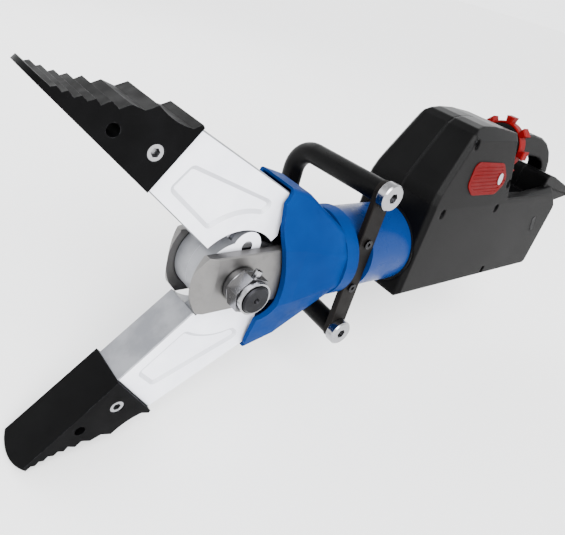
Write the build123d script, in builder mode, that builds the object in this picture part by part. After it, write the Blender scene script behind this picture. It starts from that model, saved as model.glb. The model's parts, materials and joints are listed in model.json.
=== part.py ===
from build123d import *
from math import asin, atan, cos, degrees, radians, sin, sqrt
import os

# A battery rescue spreader. Every length is in millimetres and every angle in degrees.
# +X points forward to the spreading tips, +Y to the operator's left, +Z up. The origin is the centre of the
# housing's flat underside. Most profiles are drawn from the pivot, where the tool's own axis meets the arms' bolt.

# Driving dimensions ---------------------------------------------------------------------------------------------
PIVOT_X = 462.0            # pivot ahead of the middle of the underside
PIVOT_Z = 60.0             # tool axis above the underside

# Arms and tips
OPEN_ANGLE = 42.5          # an arm's inner edge above the tool axis, fully open
ARM_HALF = 25.0            # half the arm's thickness
LAYER_GAP = 0.15           # each half-lapped hub stops this far short of the mid plane
HUB_R = 44.0
RELIEF_R = 58.5            # pocket that clears the other arm's hub and lever
TIP_HALF = 30.0            # half the tip's width
TIP_INNER_N = 0.4          # the tip's inner face stands this far off the closing plane
ARM_INNER_N = 1.9
TIP_REAR_E = (164.0, 170.5)  # distance along the inner edge at which the tip's rear face starts and ends
TIP_REAR_N = 75.0          # height of the tip's rear ridge
TIP_END_E = 291.5
NOSE_BULGE = 9.0           # the duckbill nose is an arc in plan
ARM_HORN = (-49.6, 100.4)  # rear outer corner of an arm
ARM_REAR_Z = 45.0
POCKET_DEPTH = 2.6
POCKET_SLOPE = 60.0        # its walls lean this far from upright
STEP_AT = (58.0, 8.0)      # the inner edge is stepped back between the hub and this distance
TENON = (160.0, 208.0, 12.0, 41.0, 16.0)   # from, to, low, high, half-width of the tongue inside a tip
TIP_SCREW_AT = (187.0, 29.0)
CHAIN_BORE_AT = (229.0, 16.5)
CHAIN_BORE_R = 6.0

# Lever pins, links and crosshead
LEVER_AT = (-10.0, -37.0)  # upper arm's lever pin from the pivot, fully open
LEVER_PIN_R = 7.0
LEVER_EYE_R = 18.5
LINK_LENGTH = 90.0
LINK_Y = (8.0, 17.0)       # a link lies between these distances from the mid plane
LINK_EYE_R = 14.5
LINK_SLOT_R = 19.0         # clears the eye wherever its loose bore lets it stand
LINK_SLOT_HALF = 18.0
OPEN_PIVOT_GAP = 3.2       # the eye on the lever pin is this much larger in radius
CROSS_PIN_R = 8.0
RUN = 0.05                 # radial running clearance
CROSS_X = LEVER_AT[0] - sqrt(LINK_LENGTH**2 - LEVER_AT[1] ** 2)
LINK_TILT = degrees(asin(-LEVER_AT[1] / LINK_LENGTH))

# Central bolt
BOLT_R = 15.0
BOLT_CAP_R = 16.5          # the bolt's rounded end beyond its nut
BUSH_R = 19.0
EAR_Y = (25.3, 38.0)       # a fork cheek lies between these distances from the mid plane
EAR_Z = 35.0
NUT_FLATS = 41.0

# Yoke and cylinder
CYL_R = 55.5
CYL_FRONT = -150.0
CYL_REAR = -300.0
COLLAR_R = 59.0
COLLAR_REAR = -168.0
BORE_R = 37.0
ROD_R = 16.0
PISTON_X = (-223.0, -196.0)

# Carrying handle
HANDLE_X = -182.5
HANDLE_Z = 102.0
HANDLE_Y_FAR = -116.0
TUBE_R = 14.5
TUBE_WALL = 2.5
BEND_R = 37.0
LEG_DROP = 7.0             # each leg closes in by this much between the strap and the far bend
STRAP_Y = (41.0, 49.0)
STRAP_W = 29.0
STRAP_END_Z = 117.0
STRAP_SCREW_Z = 33.0
CAP_R = 17.5
CAP_LENGTH = 12.0

# Housing
SIDE_Y = 62.0              # half the housing's width
LEAN_FROM_Z = 78.0         # above this the sides lean inward
LEAN = 0.122
SHOULDER_Z = 172.0         # above this they slope over to the roof
ROOF_HALF = 38.0
ROOF_Z = 188.0
EDGE_BEVEL = 6.0           # bevel round both side faces
WALL = 4.0
FRONT_X = -275.0
REAR_X = -645.0
BASE_Z = -PIVOT_Z
FLOOR_Z = BASE_Z + WALL
SEAL_R = 58.5
HAND_RECESS = (-598.0, -472.0, 44.0, 70.0)  # from, to, half-width and floor of the space under the rear handle
HUMP_HALF = 48.0
NECK_Z = 146.0
NECK_R = 15.0
NECK_X = (-508.0, -424.0)
GRIP_HALF = 14.0
SLEEVE_R = 20.0
SCREWS_AT = [(-330.0, 166.0), (-301.0, 72.0), (-439.0, 71.0), (-449.0, 109.0), (-492.0, -47.0)]
HEAD_R = 4.8
HEAD_SINK = 3.0            # the screw heads lie this far below the surface, in upright oblong recesses

# Star grip
STAR_X = (-495.0, -479.0)
STAR_R = 45.0
STAR_ROOT_R = 37.0
STAR_HUB_R = 33.0
STAR_LOBES = 8
LOBE_W = (9.0, 13.5)       # a lobe's width at the rim and at its end

# Battery
BATTERY_X = (-655.0, -512.0)
BATTERY_Y = 40.0
BATTERY_Z = (-36.0, 44.0)
CASE_WALL = 2.5
BAY_GAP = 0.5
BAY_WALL = 3.5
CELL_R = 9.2
CELL_PITCH = 18.6
CELL_X = ((-648.0, -583.0), (-580.0, -515.0))
BUTTON_AT = (-592.5, 30.0)
BUTTON_SIZE = (30.0, 10.0)
BUTTON_TILT = 64.0
BUTTON_TRAVEL = 3.0

os.makedirs("parts", exist_ok=True)
print(f"crosshead pin at {CROSS_X:.3f} from the pivot, link tilt {LINK_TILT:.3f}")


# Frames of reference --------------------------------------------------------------------------------------------
def side(y, turn=1):
    """Side view from the left at distance y: X forward and Y up, from the pivot. turn=-1 is the same view
    rolled half a turn about the tool axis, which is how the lower arm mirrors the upper one."""
    return Plane(origin=(PIVOT_X, turn * y, PIVOT_Z), x_dir=(1, 0, 0), z_dir=(0, -turn, 0))


def cross(x):
    """Front view at station x: X to the left of the tool and Y up, from the tool axis. Extrusions go forward."""
    return Plane(origin=(PIVOT_X + x, 0, PIVOT_Z), x_dir=(0, 1, 0), z_dir=(1, 0, 0))


def plan(z, x=0.0, y=0.0):
    """Plan view at height z above the tool axis."""
    return Plane(origin=(PIVOT_X + x, y, PIVOT_Z + z), x_dir=(1, 0, 0), z_dir=(0, 0, 1))


def blade(e, n):
    """Side-view point at e along an open arm's inner edge and n outward from it."""
    a = radians(OPEN_ANGLE)
    return (e * cos(a) - n * sin(a), e * sin(a) + n * cos(a))


def box_between(x, y, z, mode=Mode.ADD):
    """Block between pairs of stations, heights taken from the tool axis."""
    with Locations((PIVOT_X + (x[0] + x[1]) / 2, (y[0] + y[1]) / 2, PIVOT_Z + (z[0] + z[1]) / 2)):
        Box(x[1] - x[0], y[1] - y[0], z[1] - z[0], mode=mode)


def finish(builder, name):
    builder.part.label = name
    export_step(builder.part, f"parts/{name}.step")


# Arms -----------------------------------------------------------------------------------------------------------
def arm(name, turn):
    with BuildPart() as pockets:
        with BuildSketch(side(ARM_HALF, turn)) as pocket:
            with BuildLine():
                Polyline((46, 63.5), blade(147.5, 15.3), blade(147.5, 48), (-21.5, 94.5), (-33, 88), (-19.5, 75.5))
                ThreePointArc((-19.5, 75.5), (13.5, 77.4), (46, 63.5))
            make_face()
            fillet(pocket.vertices(), 7)
        extrude(amount=POCKET_DEPTH, taper=POCKET_SLOPE)
        mirror(about=Plane.XZ)
    with BuildPart() as piece:
        # blade, from the hub to the tongue that carries the tip
        with BuildSketch(side(ARM_HALF, turn)):
            with BuildLine():
                Polyline(
                    (0, 0),
                    blade(STEP_AT[0] / 2, STEP_AT[1]),
                    blade(*STEP_AT),
                    blade(STEP_AT[0], ARM_INNER_N),
                    blade(TIP_REAR_E[0], ARM_INNER_N),
                    blade(TIP_REAR_E[1] - 0.3, TIP_REAR_N - 2),
                    ARM_HORN,
                    (ARM_HORN[0], ARM_REAR_Z),
                    close=True,
                )
            make_face()
        extrude(amount=2 * ARM_HALF)
        blade_edges = piece.edges().filter_by(lambda edge: edge.length > 60)
        chamfer(blade_edges.filter_by(Plane.XZ), length=1.2)
        with BuildSketch(side(TENON[4], turn)):
            with BuildLine():
                Polyline(
                    blade(TENON[0], TENON[2]),
                    blade(TENON[1], TENON[2]),
                    blade(TENON[1], TENON[3]),
                    blade(TENON[0], TENON[3]),
                    close=True,
                )
            make_face()
        extrude(amount=2 * TENON[4])
        # hub and lever eye, in one half of the thickness
        with BuildSketch(side(-LAYER_GAP, turn)):
            Circle(HUB_R)
            with Locations(LEVER_AT):
                Circle(LEVER_EYE_R)
        extrude(amount=ARM_HALF - LAYER_GAP)
        # the other half makes room for the other arm's hub and lever
        with BuildSketch(side(ARM_HALF + 1, turn)):
            Circle(RELIEF_R)
        extrude(amount=ARM_HALF + 1 + LAYER_GAP, mode=Mode.SUBTRACT)
        # bores for the bush and the lever pin
        with BuildSketch(side(0, turn)):
            Circle(BUSH_R)
            with Locations(LEVER_AT):
                Circle(LEVER_PIN_R)
        extrude(amount=ARM_HALF, mode=Mode.SUBTRACT)
        # slot in which the link swings
        with BuildSketch(side(-LINK_Y[0] + 0.4, turn)):
            with Locations(LEVER_AT):
                Circle(LINK_SLOT_R)
                for direction in (LINK_TILT + 130, 180, 210):
                    Rectangle(75, 2 * LINK_SLOT_HALF, rotation=direction, align=(Align.MIN, Align.CENTER))
        extrude(amount=LINK_Y[1] - LINK_Y[0] + 0.8, mode=Mode.SUBTRACT)
        # shallow pocket in both faces
        add(pockets.part, mode=Mode.SUBTRACT)
        # cross hole for the tip screws
        with BuildSketch(side(ARM_HALF, turn)):
            with Locations(blade(*TIP_SCREW_AT)):
                Circle(5)
        extrude(amount=2 * ARM_HALF, mode=Mode.SUBTRACT)
    finish(piece, name)


# Teeth on a tip's outer face, each as the ridge and the foot of the step in front of it
TOOTH_RIDGES = [(216.5, 57.0), (234.0, 40.5), (247.0, 31.0), (256.6, 23.5), (265.5, 17.6), (274.8, 13.0), (283.2, 9.6)]
STEP_RUN = (5.5, 4.2, 3.2, 2.9, 2.8, 2.6, 2.3)
STEP_DROP = (11.5, 9.5, 8.4, 6.0, 5.2, 4.2, 3.6)


def tip(name, turn):
    teeth = []
    for (e, n), run, drop in zip(TOOTH_RIDGES, STEP_RUN, STEP_DROP):
        teeth += [blade(e, n), blade(e + run, n - drop)]
    with BuildPart() as piece:
        with BuildSketch(side(TIP_HALF, turn)):
            with BuildLine():
                ThreePointArc(blade(178.5, 66.5), blade(195, 59.5), teeth[0])
                Polyline(
                    *teeth,
                    blade(TIP_END_E + NOSE_BULGE, 5.2),
                    blade(TIP_END_E + NOSE_BULGE, TIP_INNER_N),
                    blade(TIP_REAR_E[0], TIP_INNER_N),
                    blade(TIP_REAR_E[1], TIP_REAR_N),
                    blade(TIP_REAR_E[1] + 3.5, TIP_REAR_N + 0.8),
                    blade(178.5, 66.5),
                )
            make_face()
        extrude(amount=2 * TIP_HALF)
        # the nose is round in plan
        nose = Plane(
            origin=side(0, turn).from_local_coords((*blade(0, -20), 0)),
            x_dir=Vector(cos(radians(OPEN_ANGLE)), 0, turn * sin(radians(OPEN_ANGLE))),
            z_dir=Vector(-sin(radians(OPEN_ANGLE)), 0, turn * cos(radians(OPEN_ANGLE))),
        )
        with BuildSketch(nose):
            with BuildLine():
                Line((TIP_END_E, TIP_HALF + 1), (100, TIP_HALF + 1))
                Line((100, TIP_HALF + 1), (100, -TIP_HALF - 1))
                Line((100, -TIP_HALF - 1), (TIP_END_E, -TIP_HALF - 1))
                ThreePointArc((TIP_END_E, -TIP_HALF - 1), (TIP_END_E + NOSE_BULGE, 0), (TIP_END_E, TIP_HALF + 1))
            make_face()
        extrude(amount=130, mode=Mode.INTERSECT)
        # socket for the arm's tongue
        with BuildSketch(side(TENON[4], turn)):
            with BuildLine():
                Polyline(
                    blade(TENON[0] - 10, TENON[2]),
                    blade(TENON[1], TENON[2]),
                    blade(TENON[1], TENON[3]),
                    blade(TENON[0] - 10, TENON[3]),
                    close=True,
                )
            make_face()
        extrude(amount=2 * TENON[4], mode=Mode.SUBTRACT)
        # counterbored screw holes in both faces and the chain bore right through
        with BuildSketch(side(TIP_HALF, turn)):
            with Locations(blade(*TIP_SCREW_AT)):
                Circle(5)
            with Locations(blade(*CHAIN_BORE_AT)):
                Circle(CHAIN_BORE_R)
        extrude(amount=2 * TIP_HALF, mode=Mode.SUBTRACT)
        for y in (TIP_HALF, -TIP_HALF + 7):
            with BuildSketch(side(y, turn)):
                with Locations(blade(*TIP_SCREW_AT)):
                    Circle(8)
            extrude(amount=7, mode=Mode.SUBTRACT)
    finish(piece, name)


def tip_screws(name, turn):
    with BuildPart() as piece:
        for face in (1, -1):
            plane = side(face * (TIP_HALF - 0.8), turn)
            inward = 1 if face == 1 else -1
            with BuildSketch(plane):
                with Locations(blade(*TIP_SCREW_AT)):
                    Circle(8)
            extrude(amount=inward * 6.2)
            with BuildSketch(plane):
                with Locations(blade(*TIP_SCREW_AT)):
                    Circle(5)
            extrude(amount=inward * 24)
            with BuildSketch(plane):
                with Locations(blade(*TIP_SCREW_AT)):
                    RegularPolygon(4, 6, major_radius=False)
            extrude(amount=inward * 4, mode=Mode.SUBTRACT)
    finish(piece, name)


def bush(name, turn):
    with BuildPart() as piece:
        with BuildSketch(side(-LAYER_GAP - 0.1, turn)):
            Circle(BUSH_R)
            Circle(BOLT_R + RUN, mode=Mode.SUBTRACT)
        extrude(amount=ARM_HALF - LAYER_GAP - 0.1)
    finish(piece, name)


def lever_pin(name, turn):
    with BuildPart() as piece:
        with BuildSketch(side(-LAYER_GAP - 0.2, turn)):
            with Locations(LEVER_AT):
                Circle(LEVER_PIN_R)
        extrude(amount=ARM_HALF - LAYER_GAP - 0.2)
    finish(piece, name)


for which, turn in (("upper", 1), ("lower", -1)):
    arm(f"{which}_arm", turn)
    tip(f"{which}_tip", turn)
    tip_screws(f"{which}_tip_screws", turn)
    bush(f"{which}_arm_bush", turn)
    lever_pin(f"{which}_lever_pin", turn)


# Links, crosshead and piston ------------------------------------------------------------------------------------
def link(name, turn):
    with BuildPart() as piece:
        with BuildSketch(side(-LINK_Y[0], turn)):
            with Locations(LEVER_AT, (CROSS_X, 0)):
                Circle(LINK_EYE_R)
            with Locations((LEVER_AT[0], LEVER_AT[1])):
                Rectangle(
                    LINK_LENGTH, 18, rotation=180 - LINK_TILT, align=(Align.MIN, Align.CENTER)
                )
            with Locations(LEVER_AT):
                Circle(LEVER_PIN_R + OPEN_PIVOT_GAP, mode=Mode.SUBTRACT)
            with Locations((CROSS_X, 0)):
                Circle(CROSS_PIN_R + RUN, mode=Mode.SUBTRACT)
        extrude(amount=LINK_Y[1] - LINK_Y[0])
    finish(piece, name)


link("upper_arm_link", 1)
link("lower_arm_link", -1)

CROSS_BODY = (-26.0, 15.0, 24.9, 18.0)   # back, front, half-width and half-height about the pin

with BuildPart() as crosshead:
    with BuildSketch(cross(CROSS_X + CROSS_BODY[0])):
        RectangleRounded(2 * CROSS_BODY[2], 2 * CROSS_BODY[3], 5)
    extrude(amount=CROSS_BODY[1] - CROSS_BODY[0])
    for face in (1, -1):
        with BuildSketch(cross(CROSS_X - LINK_EYE_R - 1.5)):
            with Locations((face * (LINK_Y[0] + LINK_Y[1]) / 2, 0)):
                Rectangle(LINK_Y[1] - LINK_Y[0] + 0.8, 50)
        extrude(amount=50, mode=Mode.SUBTRACT)
    with BuildSketch(side(CROSS_BODY[2])):
        with Locations((CROSS_X, 0)):
            Circle(CROSS_PIN_R)
    extrude(amount=2 * CROSS_BODY[2], mode=Mode.SUBTRACT)
    with BuildSketch(cross(CROSS_X + CROSS_BODY[0])):
        Circle(9)
    extrude(amount=8, mode=Mode.SUBTRACT)
finish(crosshead, "crosshead")

with BuildPart() as crosshead_pin:
    with BuildSketch(side(CROSS_BODY[2] - 0.5)):
        with Locations((CROSS_X, 0)):
            Circle(CROSS_PIN_R)
    extrude(amount=2 * CROSS_BODY[2] - 1)
finish(crosshead_pin, "crosshead_pin")

with BuildPart() as piston_rod:
    with BuildSketch(cross(PISTON_X[0])):
        Circle(11)
    extrude(amount=CROSS_X + CROSS_BODY[0] + 8 - PISTON_X[0])
    with BuildSketch(cross(PISTON_X[1])):
        Circle(ROD_R)
    extrude(amount=CROSS_X + CROSS_BODY[0] - PISTON_X[1])
    with BuildSketch(cross(CROSS_X + CROSS_BODY[0])):
        Circle(12)
        Circle(9, mode=Mode.SUBTRACT)
    extrude(amount=8, mode=Mode.SUBTRACT)
finish(piston_rod, "piston_rod")

with BuildPart() as piston:
    with BuildSketch(cross(PISTON_X[0])):
        Circle(BORE_R - RUN)
        Circle(11, mode=Mode.SUBTRACT)
    extrude(amount=PISTON_X[1] - PISTON_X[0])
    with BuildSketch(cross(PISTON_X[0] + 10)):
        Circle(BORE_R)
        Circle(BORE_R - 4, mode=Mode.SUBTRACT)
    extrude(amount=7, mode=Mode.SUBTRACT)
finish(piston, "piston")

with BuildPart() as piston_seal:
    with BuildSketch(cross(PISTON_X[0] + 10)):
        Circle(BORE_R - RUN)
        Circle(BORE_R - 4, mode=Mode.SUBTRACT)
    extrude(amount=7)
finish(piston_seal, "piston_seal")

# Cylinder -------------------------------------------------------------------------------------------------------
with BuildPart() as cylinder_barrel:
    with BuildSketch(cross(CYL_REAR)):
        Circle(CYL_R)
    extrude(amount=COLLAR_REAR - CYL_REAR)
    with BuildSketch(cross(COLLAR_REAR)):
        Circle(50)
    extrude(amount=CYL_FRONT - COLLAR_REAR)
    with BuildSketch(cross(-266)):
        Circle(BORE_R)
    extrude(amount=CYL_FRONT + 266, mode=Mode.SUBTRACT)
    with BuildSketch(cross(CYL_REAR)):
        with Locations((0, 20), (0, -20)):
            Circle(4)
    extrude(amount=30, mode=Mode.SUBTRACT)
    # milled flat and threads for the handle's strap
    box_between((HANDLE_X - STRAP_W / 2, HANDLE_X + STRAP_W / 2), (STRAP_Y[0], CYL_R + 5), (-CYL_R, CYL_R),
                mode=Mode.SUBTRACT)
    with BuildSketch(side(STRAP_Y[0])):
        with Locations((HANDLE_X, STRAP_SCREW_Z), (HANDLE_X, -STRAP_SCREW_Z)):
            Circle(3)
    extrude(amount=10, mode=Mode.SUBTRACT)
finish(cylinder_barrel, "cylinder_barrel")

with BuildPart() as cylinder_gland:
    with BuildSketch(cross(-184)):
        Circle(BORE_R)
        Circle(ROD_R + RUN, mode=Mode.SUBTRACT)
    extrude(amount=32)
    with BuildSketch(cross(-160)):
        Circle(ROD_R + 5)
    extrude(amount=5, mode=Mode.SUBTRACT)
finish(cylinder_gland, "cylinder_gland")

with BuildPart() as rod_wiper:
    with BuildSketch(cross(-160)):
        Circle(ROD_R + 5)
        Circle(ROD_R + RUN, mode=Mode.SUBTRACT)
    extrude(amount=5)
finish(rod_wiper, "rod_wiper")

# Pivot fork: two cheeks on a ring that is clamped between the yoke and the cylinder -------------------------------
RING_X = (CYL_FRONT, -140.0)
RING_HOLE_R = 36.0

with BuildPart() as pivot_fork:
    for y in (EAR_Y[1], -EAR_Y[0]):
        with BuildSketch(side(y)):
            with BuildLine():
                Line((RING_X[1] - 4, -EAR_Z), (45, -EAR_Z))
                ThreePointArc((45, -EAR_Z), (53.5, 5), (42, EAR_Z))
                Line((42, EAR_Z), (RING_X[1] - 4, EAR_Z))
                Line((RING_X[1] - 4, EAR_Z), (RING_X[1] - 4, -EAR_Z))
            make_face()
        extrude(amount=EAR_Y[1] - EAR_Y[0])
    # the right cheek is deeper at its front
    with BuildSketch(side(-EAR_Y[0])):
        with BuildLine():
            Polyline((-20, -EAR_Z + 1), (-4, -46), (36, -46), (45, -EAR_Z + 1), close=True)
        make_face()
    extrude(amount=EAR_Y[1] - EAR_Y[0])
    # both are rounded over outside at the front
    for face in (1, -1):
        with BuildSketch(plan(-60)):
            with BuildLine():
                ThreePointArc((24, face * (EAR_Y[1] + 0.01)), (42.5, face * 34.6), (54, face * (EAR_Y[0] - 0.5)))
                Polyline((54, face * (EAR_Y[0] - 0.5)), (70, face * (EAR_Y[0] - 0.5)), (70, face * 50),
                         (24, face * 50), (24, face * (EAR_Y[1] + 0.01)))
            make_face()
        extrude(amount=120, mode=Mode.SUBTRACT)
    chamfer(pivot_fork.edges().filter_by(lambda edge: edge.length > 60).filter_by(Axis.X), length=1.5)
    with BuildSketch(cross(RING_X[0])):
        Circle(50)
        Circle(RING_HOLE_R, mode=Mode.SUBTRACT)
    extrude(amount=RING_X[1] - RING_X[0])
    # the cheeks' back ends are turned down to pass the yoke's throat
    with BuildSketch(cross(RING_X[0])):
        Rectangle(120, 120)
        Circle(50, mode=Mode.SUBTRACT)
    extrude(amount=34, mode=Mode.SUBTRACT)
    with BuildSketch(side(EAR_Y[1] + 1)):
        Circle(BOLT_R)
    extrude(amount=2 * EAR_Y[1] + 2, mode=Mode.SUBTRACT)
finish(pivot_fork, "pivot_fork")

# Yoke: a hollow casting that flares from the cylinder's collar to a tall, narrow mouth ---------------------------
# Each section is a station with its upper corner and its shoulder, as half-width and height
YOKE_SECTIONS = [
    (-38.0, ((29.4, 110.5), (46.0, 40.2)), 5.0),
    (-80.0, ((32.0, 97.5), (48.0, 36.0)), 8.0),
    (-152.0, ((36.0, 46.0), (55.0, 20.0)), 15.0),
]
HOLLOW_SECTIONS = [
    (-37.5, ((25.9, 107.5), (38.4, 37.2))),
    (-80.0, ((25.9, 93.5), (40.0, 33.0))),
    (-140.0, ((25.9, 47.0), (42.0, 26.0))),
]


def octagon(points):
    """Eight-sided section, symmetric both ways."""
    (y1, z1), (y2, z2) = points
    corners = [(y1, z1), (y2, z2), (y2, -z2), (y1, -z1)]
    return corners + [(-y, z) for y, z in reversed(corners)]


with BuildPart() as yoke:
    for station, section, corner in YOKE_SECTIONS:
        with BuildSketch(cross(station)) as outside:
            with BuildLine():
                Polyline(*octagon(section), close=True)
            make_face()
            fillet(outside.vertices(), corner)
    loft(ruled=True)
    with BuildSketch(cross(COLLAR_REAR)):
        Circle(COLLAR_R)
    extrude(amount=YOKE_SECTIONS[-1][0] - COLLAR_REAR + 6)
    chamfer(yoke.faces().sort_by(Axis.X)[0].edges(), length=1.5)
    # hollow for the arms, links and crosshead
    for station, section in HOLLOW_SECTIONS:
        with BuildSketch(cross(station)):
            with BuildLine():
                Polyline(*octagon(section), close=True)
            make_face()
    loft(ruled=True, mode=Mode.SUBTRACT)
    with BuildSketch(cross(COLLAR_REAR - 1)):
        Circle(50)
    extrude(amount=RING_X[1] - COLLAR_REAR + 1, mode=Mode.SUBTRACT)
    # channels for the fork's cheeks
    for face in (1, -1):
        with BuildSketch(cross(RING_X[1] - 1)):
            with Locations((face * (EAR_Y[0] + EAR_Y[1]) / 2, 0)):
                Rectangle(EAR_Y[1] - EAR_Y[0], 2 * EAR_Z)
        extrude(amount=120, mode=Mode.SUBTRACT)
    # the mouth's edge is drawn back around the hubs, and further at the top than at the bottom
    with BuildSketch(side(80)):
        with BuildLine():
            Polyline((-20, -120), (-41, -120), (-41, -104), (-38.5, -99), (-38.5, -58))
            Spline((-38.5, -58), (-53.5, -50), (-61, -21), (-57.7, 8), (-44.5, 52), (-42, 64))
            Polyline((-42, 64), (-42, 90), (-49.5, 100), (-49.5, 120), (-20, 120), (-20, -120))
        make_face()
    extrude(amount=160, mode=Mode.SUBTRACT)
finish(yoke, "yoke")

# Central bolt, its collar, nut and lock screw ---------------------------------------------------------------------
COLLAR_Y = 47.0
COLLAR_WASHER_R = 21.0
END_RING = (19.5, 70.0)    # radius and outer end of the ring on the bolt's end
NUT_Y = (COLLAR_Y, 64.0)
BOLT_END_Y = 73.0
LOCK_TILT = 17.0
lock_plane = Plane(
    origin=(PIVOT_X, (NUT_Y[0] + NUT_Y[1]) / 2, PIVOT_Z),
    z_dir=(-sin(radians(LOCK_TILT)), 0, cos(radians(LOCK_TILT))),
)

with BuildPart() as central_bolt:
    with BuildSketch(side(BOLT_END_Y)):
        Circle(BOLT_R)
    extrude(amount=BOLT_END_Y + EAR_Y[1])
    with BuildSketch(side(BOLT_END_Y)):
        Circle(BOLT_CAP_R)
    extrude(amount=BOLT_END_Y - NUT_Y[1])
    with BuildSketch(side(-EAR_Y[1])):
        RegularPolygon(23, 6, major_radius=False)
    extrude(amount=14)
    chamfer(central_bolt.faces().sort_by(Axis.Y)[-1].edges(), length=1.8)
    chamfer(central_bolt.faces().sort_by(Axis.Y)[0].edges(), length=1.0)
    with BuildSketch(side(BOLT_END_Y)):
        Circle(4)
    extrude(amount=2.5, taper=40, mode=Mode.SUBTRACT)
finish(central_bolt, "central_bolt")

with BuildPart() as bolt_collar:
    with BuildSketch(side(COLLAR_Y)):
        Circle(COLLAR_WASHER_R)
        Circle(BOLT_R, mode=Mode.SUBTRACT)
    extrude(amount=COLLAR_Y - EAR_Y[1])
    fillet(bolt_collar.faces().sort_by(Axis.Y)[-1].edges().sort_by(SortBy.LENGTH)[-1], radius=1.5)
finish(bolt_collar, "bolt_collar")

with BuildPart() as bolt_nut:
    with BuildSketch(side(NUT_Y[1])):
        RegularPolygon(NUT_FLATS / 2, 6, major_radius=False, rotation=LOCK_TILT)
        Circle(BOLT_R, mode=Mode.SUBTRACT)
    extrude(amount=NUT_Y[1] - NUT_Y[0])
    with BuildSketch(lock_plane):
        Circle(3.5)
    extrude(amount=30, mode=Mode.SUBTRACT)
finish(bolt_nut, "bolt_nut")

with BuildPart() as nut_lock_screw:
    with BuildSketch(lock_plane.offset(BOLT_R)):
        Circle(3.5)
    extrude(amount=8)
    with BuildSketch(lock_plane.offset(NUT_FLATS / 2)):
        Circle(4.5)
    extrude(amount=7)
    with BuildSketch(lock_plane.offset(NUT_FLATS / 2 + 7)):
        RegularPolygon(2.2, 6, major_radius=False)
    extrude(amount=-4, mode=Mode.SUBTRACT)
finish(nut_lock_screw, "nut_lock_screw")

with BuildPart() as bolt_end_ring:
    with BuildSketch(side(END_RING[1])):
        Circle(END_RING[0])
        Circle(BOLT_CAP_R, mode=Mode.SUBTRACT)
    extrude(amount=END_RING[1] - NUT_Y[1])
    chamfer(bolt_end_ring.edges().group_by(Axis.Y)[-1][-1], length=1)
finish(bolt_end_ring, "bolt_end_ring")

# Carrying handle --------------------------------------------------------------------------------------------------
def leg_point(y, top, drop):
    return (PIVOT_X + HANDLE_X, y, PIVOT_Z + top * (HANDLE_Z - drop))


def leg_plane(top):
    """Plane across a leg's root, facing along the leg. top is 1 for the upper leg and -1 for the lower one."""
    return Plane(origin=leg_point(STRAP_Y[1], top, 0), z_dir=(0, HANDLE_Y_FAR - STRAP_Y[1], -top * LEG_DROP))


BEYOND_STRAP = ((HANDLE_X - 30, HANDLE_X + 30), (STRAP_Y[0], STRAP_Y[1] + 5), (-140, 140))
CAP_SCREW_R = 8.0

with BuildPart() as handle_tube:
    with BuildLine():
        FilletPolyline(
            leg_point(STRAP_Y[1], 1, 0),
            leg_point(HANDLE_Y_FAR, 1, LEG_DROP),
            leg_point(HANDLE_Y_FAR, -1, LEG_DROP),
            leg_point(STRAP_Y[1], -1, 0),
            radius=BEND_R,
        )
    with BuildSketch(leg_plane(1)):
        Circle(TUBE_R)
        Circle(TUBE_R - TUBE_WALL, mode=Mode.SUBTRACT)
    sweep()
    box_between(*BEYOND_STRAP, mode=Mode.SUBTRACT)
finish(handle_tube, "handle_tube")

with BuildPart() as handle_plugs:
    for top in (1, -1):
        with BuildSketch(leg_plane(top)):
            Circle(TUBE_R - TUBE_WALL)
        extrude(amount=38)
    box_between(*BEYOND_STRAP, mode=Mode.SUBTRACT)
    with BuildSketch(side(STRAP_Y[0])):
        with Locations((HANDLE_X, HANDLE_Z), (HANDLE_X, -HANDLE_Z)):
            Circle(CAP_SCREW_R)
    extrude(amount=24, mode=Mode.SUBTRACT)
finish(handle_plugs, "handle_plugs")

with BuildPart() as handle_screws:
    for z in (HANDLE_Z, -HANDLE_Z):
        with BuildSketch(side(STRAP_Y[1] + CAP_LENGTH)):
            with Locations((HANDLE_X, z)):
                Circle(CAP_R)
        extrude(amount=CAP_LENGTH)
        with BuildSketch(side(STRAP_Y[1])):
            with Locations((HANDLE_X, z)):
                Circle(CAP_SCREW_R)
        extrude(amount=STRAP_Y[1] - STRAP_Y[0] + 22)
    chamfer(handle_screws.edges().group_by(Axis.Y)[-1], length=1.8)
    for z in (HANDLE_Z, -HANDLE_Z):
        with BuildSketch(side(STRAP_Y[1] + CAP_LENGTH)):
            with Locations((HANDLE_X, z)):
                RegularPolygon(6, 6, major_radius=False)
        extrude(amount=7, mode=Mode.SUBTRACT)
finish(handle_screws, "handle_screws")

with BuildPart() as handle_strap:
    box_between((HANDLE_X - STRAP_W / 2, HANDLE_X + STRAP_W / 2), STRAP_Y, (-STRAP_END_Z, STRAP_END_Z))
    fillet(handle_strap.edges().filter_by(Axis.Y), radius=13)
    chamfer(handle_strap.faces().sort_by(Axis.Y)[-1].edges(), length=1)
    with BuildSketch(side(STRAP_Y[1])):
        with Locations((HANDLE_X, HANDLE_Z), (HANDLE_X, -HANDLE_Z)):
            Circle(CAP_SCREW_R)
        with Locations((HANDLE_X, STRAP_SCREW_Z), (HANDLE_X, -STRAP_SCREW_Z)):
            Circle(3)
    extrude(amount=STRAP_Y[1] - STRAP_Y[0], mode=Mode.SUBTRACT)
finish(handle_strap, "handle_strap")

with BuildPart() as strap_screws:
    for z in (STRAP_SCREW_Z, -STRAP_SCREW_Z):
        with BuildSketch(side(STRAP_Y[1])):
            with Locations((HANDLE_X, z)):
                Circle(3)
        extrude(amount=STRAP_Y[1] - STRAP_Y[0] + 9)
        with BuildSketch(side(STRAP_Y[1] + 3)):
            with Locations((HANDLE_X, z)):
                Circle(6)
                RegularPolygon(2.5, 6, major_radius=False, mode=Mode.SUBTRACT)
        extrude(amount=3)
finish(strap_screws, "handle_strap_screws")

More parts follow.
